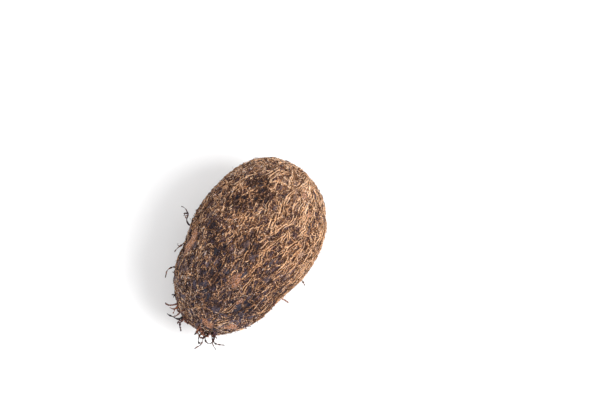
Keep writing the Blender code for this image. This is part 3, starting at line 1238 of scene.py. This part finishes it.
class TARO_OT_build_scales(bpy.types.Operator):
    """Builds the thin papery scales that lie on the skin, some with a raised edge"""

    bl_idname = "taro.build_scales"
    bl_label = "Build Scales"

    # A scale's rings, from the middle of its face out to its rim and back under it, as shares of
    # its size; and which of them lie under it
    RINGS = np.array([0.02, 0.4, 0.75, 1.0, 1.0, 0.75, 0.4, 0.02])
    UNDER = np.array([0.0, 0.0, 0.0, 0.0, 1.0, 1.0, 1.0, 1.0])
    SIDES = 12
    ANGLES = -2 * math.pi * np.arange(SIDES) / SIDES
    LOBES = ((0.12, 2), (0.14, 3), (0.10, 5))  # a rim's waves: (size, how many round it)
    FACE_LIFT = 0.08 * MM  # how far a flat scale's face stands off the skin

    def outlines(self, rng, settings, count):
        """Ragged rims round 0, as complex numbers along and across, and a chance angle for each."""
        length = settings.length * rng.uniform(0.5, 1.4, count)
        width = length * rng.uniform(0.35, 0.75, count)
        phase = rng.uniform(0, 2 * math.pi, (count, len(self.LOBES) + 1))
        ragged = 1 + sum(
            size * np.sin(lobes * self.ANGLES + phase[:, k, None])
            for k, (size, lobes) in enumerate(self.LOBES)
        )
        x = length[:, None] / 2 * np.cos(self.ANGLES) * ragged
        y = width[:, None] / 2 * np.sin(self.ANGLES) * ragged
        return x + 1j * y, phase[:, -1, None]

    def lifts(self, rng, settings, count, phase):
        """How far each ring of each scale stands off the skin, with one side of it curled up."""
        raised = np.clip(np.cos(self.ANGLES + phase), -0.3, 1)[:, None, :]
        curl = settings.curl * rng.uniform(0.0, 1.0, count) ** 2
        lift = curl[:, None, None] * raised * self.RINGS[None, :, None] ** 2
        return lift + self.FACE_LIFT - settings.thickness * self.UNDER[None, :, None]

    def execute(self, context):
        settings = context.scene.taro_scales
        pattern = SkinPattern(context.scene.taro_skin)
        surface = corm_surface()
        rng = np.random.default_rng(77)
        count = settings.count
        lat, turn = scatter(rng, count, lambda p: 1 - pattern.bare_share(p))
        middle = surface.place(lat, turn)
        ahead, around = surface.tangents(lat, turn)
        along, about = surface.stride(middle, lat)
        course = pattern.grain(middle, ahead, around) * np.exp(1j * rng.normal(0, 0.35, count))
        rim, phase = self.outlines(rng, settings, count)
        offset = rim[:, None, :] * self.RINGS[None, :, None] * course[:, None, None]
        lats = lat[:, None, None] + offset.real / along[:, None, None]
        lats = np.clip(lats, -LAST_LATITUDE, LAST_LATITUDE).ravel()
        turns = (turn[:, None, None] + offset.imag / about[:, None, None]).ravel()
        points = surface.place(lats, turns)
        # A scale bridges most of the hollows under it
        high = pattern.height(points).reshape(count, -1)
        high = 0.45 * high + 0.55 * np.quantile(high, 0.7, axis=1, keepdims=True)
        high = high.ravel() + self.lifts(rng, settings, count, phase).ravel()
        points = points + surface.outward(lats, turns) * high[:, None]
        points[:, 2] = np.maximum(points[:, 2], FLOOR_GAP)
        corners, counts, places = tube_faces(count, len(self.RINGS), self.SIDES)
        scales = new_piece("skin_scales", points, corners, counts, self.material(settings))
        tiles = math.ceil(math.sqrt(count))
        column, row = places[:, 0] % tiles, places[:, 0] // tiles
        add_map(scales, (np.stack([column, row], axis=1) + inset(places[:, 1:], 0.04)) / tiles)
        add_values(scales, "cool", pattern.cool_share(points))
        chance = np.repeat(rng.normal(-0.03, 0.14, count), len(self.RINGS) * self.SIDES)
        add_values(scales, "shade", 0.16 * pattern.tone(points) + chance)
        return {"FINISHED"}

    def material(self, settings):
        """Thin, slightly glossy paper of dead skin, with streaks along the corm."""
        graph = Graph("papery_scale", specular=0.3)
        fibres = graph.grain((350.0, 2000.0, 2000.0), 3.0)
        shade = graph.math("MULTIPLY_ADD", fibres, 0.5, graph.math("ADD", graph.value("shade"), 0.25))
        stops = ((0.1, settings.dark), (0.4, settings.purple), (0.7, settings.brown), (1.0, settings.pale))
        colour = graph.mix(graph.value("cool"), graph.ramp(shade, stops), COOL_TINT, "MULTIPLY")
        graph.set(graph.shader.inputs["Base Color"], colour)
        graph.set(graph.shader.inputs["Roughness"], graph.math("MULTIPLY_ADD", fibres, -0.25, 0.8))
        return graph.material


class TARO_OT_build_rootlets(bpy.types.Operator):
    """Builds the dried rootlets, which curl and branch"""

    bl_idname = "taro.build_rootlets"
    bl_label = "Build Rootlets"

    STEPS = 14
    SIDES = 6
    KINK = 2.6  # radians that a rootlet would turn by chance, if each step bent the same way
    ROOT_DEPTH = 0.3 * MM  # how deep in the skin a rootlet starts
    LOW = 1.5 * MM  # nearer to the floor than this, a rootlet turns up

    def grow(self, rng, start, way, length, curl, width):
        """One rootlet's centre line, curling as it goes and staying over the floor."""
        points = [start]
        axis = Vector((0.0, 0.0, -1.0))
        step = length / (self.STEPS - 1)
        for k in range(1, self.STEPS):
            axis = (axis + 0.25 * Vector(rng.normal(0, 1, 3))).normalized()
            bend = curl * 2 * k / self.STEPS * rng.uniform(0.2, 1.8) + self.KINK * rng.normal()
            way = Quaternion(axis, bend / (self.STEPS - 1)) @ way
            if points[-1].z < self.LOW and way.z < 0:
                way.z = abs(way.z)
            way.normalize()
            points.append(points[-1] + way * step)
            points[-1].z = max(points[-1].z, width)
        return points

    def sprout(self, rng, thickness, along, turn, lean, count, spread, length, degrees, rise):
        """One rootlet of a group of count, with its branches: (centre line, width) pairs."""
        surface = corm_surface()
        lat = math.asin(along) + spread * rng.normal() / HALF_LENGTH
        about = math.radians(turn) + spread * rng.normal() / (HALF_ROUND * math.cos(lat))
        lat, about = np.array([lat]), np.array([about])
        out = surface.outward(lat, about)[0]
        start = Vector(surface.place(lat, about)[0] - self.ROOT_DEPTH * out)
        loose = 0.0 if count == 1 else 0.5
        way = Vector(out + (lean, 0.0, rise)) + loose * Vector(rng.normal(0, 1, 3))
        reach = length * (1 + loose * rng.uniform(-0.8, 0.6))
        curl = math.radians(degrees) * (rng.choice((-1, 1)) if count > 1 else 1)
        width = thickness * rng.uniform(0.65, 1.05) * min(1.0, 0.55 + reach / (9 * MM))
        line = self.grow(rng, start, way.normalized(), reach, curl, width)
        grown = [(line, width)]
        for _ in range(rng.integers(0, 3) if reach > 3 * MM else 0):
            fork = int(rng.integers(3, self.STEPS - 3))
            way = (line[fork + 1] - line[fork]).normalized() + 0.8 * Vector(rng.normal(0, 1, 3))
            part = reach * rng.uniform(0.15, 0.35)
            grown.append((self.grow(rng, line[fork], way.normalized(), part, -curl, width), 0.7 * width))
        return grown

    def execute(self, context):
        settings = context.scene.taro_rootlets
        pattern = SkinPattern(context.scene.taro_skin)
        rng = np.random.default_rng(91)
        grown = []
        for group in ROOTLETS:
            for _ in range(group[3]):
                grown += self.sprout(rng, settings.thickness, *group)
        centres = np.array([[tuple(p) for p in line] for line, _width in grown])
        ups = np.broadcast_to(rng.normal(0, 1, (len(grown), 1, 3)), centres.shape)
        widths = np.array([width for _line, width in grown])[:, None] * np.linspace(1.0, 0.5, self.STEPS)
        widths = widths * np.clip(1 + 0.38 * rng.normal(0, 1, widths.shape), 0.45, 1.9)
        shades = map_columns(pattern, rng, centres[:, 0], 0.46, 0.22, toned=0.0, cooled=0.3)
        material = strand_material("rootlet", (settings.dark, settings.red, settings.pale), 0.8, 9.0)
        build_tubes("rootlets", centres, ups, widths, 1.0, self.SIDES, shades, material)
        return {"FINISHED"}


class TARO_OT_build_crown(bpy.types.Operator):
    """Builds the torn, papery collars that old leaves left round the bud"""

    bl_idname = "taro.build_crown"
    bl_label = "Build Crown"

    SIDES = 72
    LOBES = ((0.10, 2), (0.07, 3), (0.06, 7), (0.05, 13))  # a collar's waves: (size, how many round it)
    LAST_PHASE = 6.28  # just short of a whole turn, in radians
    FOOT_DEPTH = 0.8 * MM  # how deep in the skin a collar stands

    def collar(self, rng, settings, number):
        """One torn collar's four rings of points: its foot, its tips, and the same again inside."""
        surface = corm_surface()
        place = [np.array([x]) for x in CROWN]
        middle = Vector(surface.place(*place)[0])
        out = Vector(surface.outward(*place)[0])
        ahead, around = (Vector(x[0]) for x in surface.tangents(*place))
        radius = settings.inner_radius + number * settings.pitch
        splay = 0.7 - 0.5 * number
        angles = 2 * math.pi * np.arange(self.SIDES) / self.SIDES
        waves = sum(
            size * np.sin(lobes * angles + rng.uniform(0, self.LAST_PHASE))
            for size, lobes in self.LOBES
        )
        tear = np.clip(0.55 + 3.0 * waves + 0.3 * rng.normal(0, 1, self.SIDES), 0.12, 1.3)
        feet, tips = [], []
        for angle, wave, share in zip(angles, waves, tear):
            side = ahead * math.cos(angle) + around * math.sin(angle)
            foot = surface.tree.find_nearest(middle + side * radius * (1 + wave))[0]
            feet.append(foot - out * self.FOOT_DEPTH)
            tips.append(foot + (out + side * splay) * settings.height * share)
        feet, tips = np.array(feet), np.array(tips)
        away = tips - np.array(middle)
        inwards = away / np.linalg.norm(away, axis=1, keepdims=True) * settings.thickness
        return np.stack([feet, tips, tips - inwards, feet - inwards])

    def execute(self, context):
        settings = context.scene.taro_crown
        rng = np.random.default_rng(63)
        collars = [self.collar(rng, settings, number) for number in range(settings.collars)]
        points = np.array(collars).reshape(-1, 3)
        points[:, 2] = np.maximum(points[:, 2], FLOOR_GAP)
        corners, counts, places = tube_faces(settings.collars, 4, self.SIDES)
        colours = (settings.dark, settings.brown, settings.pale)
        material = strand_material("papery_collar", colours, 0.7, 3.0)
        crown = new_piece("crown_collars", points, corners, counts, material)
        # The collars lie side by side on the map's warm half
        across = 0.02 + 0.45 * (places[:, 0] + places[:, 2]) / settings.collars
        add_map(crown, np.stack([across, inset(places[:, 1], 0.01)], axis=1))
        return {"FINISHED"}


class TARO_OT_set_stage(bpy.types.Operator):
    """Sets the white floor, the soft light, the pale surroundings and the camera"""

    bl_idname = "taro.set_stage"
    bl_label = "Set Stage"

    def floor(self, settings):
        """A wide white floor with faint clouds in it."""
        graph = Graph("white_floor", specular=0.2)
        grain = graph.noise(graph.stretched((30.0, 30.0, 30.0)))
        colour = graph.ramp(grain, ((0.3, settings.floor_dark), (0.7, settings.floor_pale)))
        graph.set(graph.shader.inputs["Base Color"], colour)
        graph.shader.inputs["Roughness"].default_value = 0.9
        bpy.ops.mesh.primitive_plane_add(size=6.0, location=(0.0, 0.0, CAD_LOW.z))
        plane = bpy.context.object
        plane.name = "floor"
        plane.data.materials.append(graph.material)

    def world(self, strength):
        """Even white light from all round."""
        world = bpy.data.worlds.new("pale_room")
        world.use_nodes = True
        background = world.node_tree.nodes["Background"]
        background.inputs["Color"].default_value = (1.0, 1.0, 1.0, 1.0)
        background.inputs["Strength"].default_value = strength
        bpy.context.scene.world = world

    def key_light(self, settings, way):
        """One soft round light, which stands that way from the corm and faces it."""
        data = bpy.data.lights.new("key", "AREA")
        data.shape = "DISK"
        data.size = settings.key_size
        data.energy = settings.key_power
        lamp = bpy.data.objects.new("key", data)
        bpy.context.scene.collection.objects.link(lamp)
        lamp.location = Vector(MIDDLE) + way.normalized() * settings.key_distance
        lamp.rotation_mode = "QUATERNION"
        lamp.rotation_quaternion = way.to_track_quat("Z", "Y")

    def execute(self, context):
        settings = context.scene.taro_stage
        turn, tilt = settings.camera_turn, settings.camera_tilt
        right = Vector((math.cos(turn), math.sin(turn), 0.0))
        ahead = Vector((-math.sin(turn), math.cos(turn), 0.0))
        back = Vector((0.0, 0.0, math.sin(tilt))) - ahead * math.cos(tilt)
        aim = Vector(MIDDLE) + right * settings.aside + ahead * settings.beyond
        data = bpy.data.cameras.new("camera")
        data.lens = settings.lens
        data.sensor_width = 36.0
        camera = bpy.data.objects.new("camera", data)
        context.scene.collection.objects.link(camera)
        camera.location = aim + back * settings.distance
        camera.rotation_mode = "QUATERNION"
        camera.rotation_quaternion = (-back).to_track_quat("-Z", "Y")
        context.scene.camera = camera
        self.floor(settings)
        self.world(settings.sky)
        # From above, from the right and a little from the front
        self.key_light(settings, right * 0.85 - ahead * 0.45 + Vector((0.0, 0.0, 1.0)))
        context.scene.view_settings.view_transform = "Standard"
        return {"FINISHED"}


class TARO_PT_panel(bpy.types.Panel):
    """Lists the pieces of the corm in the order they are built"""

    bl_label = "Taro Corm"
    bl_idname = "TARO_PT_panel"
    bl_space_type = "VIEW_3D"
    bl_region_type = "UI"
    bl_category = "Taro"

    def draw(self, context):
        for operator in OPERATORS:
            self.layout.operator(operator.bl_idname)


GROUPS = {
    "taro_skin": TaroSkinSettings,
    "taro_strands": TaroStrandSettings,
    "taro_scales": TaroScaleSettings,
    "taro_rootlets": TaroRootletSettings,
    "taro_crown": TaroCrownSettings,
    "taro_stage": TaroStageSettings,
}
OPERATORS = (
    TARO_OT_build_skin,
    TARO_OT_build_ribs,
    TARO_OT_build_fibres,
    TARO_OT_build_scales,
    TARO_OT_build_rootlets,
    TARO_OT_build_crown,
    TARO_OT_set_stage,
)


def register():
    for group in GROUPS.values():
        bpy.utils.register_class(group)
    for name, group in GROUPS.items():
        setattr(bpy.types.Scene, name, bpy.props.PointerProperty(type=group))
    for operator in OPERATORS:
        bpy.utils.register_class(operator)
    bpy.utils.register_class(TARO_PT_panel)


def unregister():
    bpy.utils.unregister_class(TARO_PT_panel)
    for operator in reversed(OPERATORS):
        bpy.utils.unregister_class(operator)
    for name, group in reversed(GROUPS.items()):
        delattr(bpy.types.Scene, name)
        bpy.utils.unregister_class(group)


def main():
    register()
    bpy.ops.taro.build_skin()
    bpy.ops.taro.build_ribs()
    bpy.ops.taro.build_fibres()
    bpy.ops.taro.build_scales()
    bpy.ops.taro.build_rootlets()
    bpy.ops.taro.build_crown()
    bpy.ops.taro.set_stage()


if __name__ == "__main__":
    main()
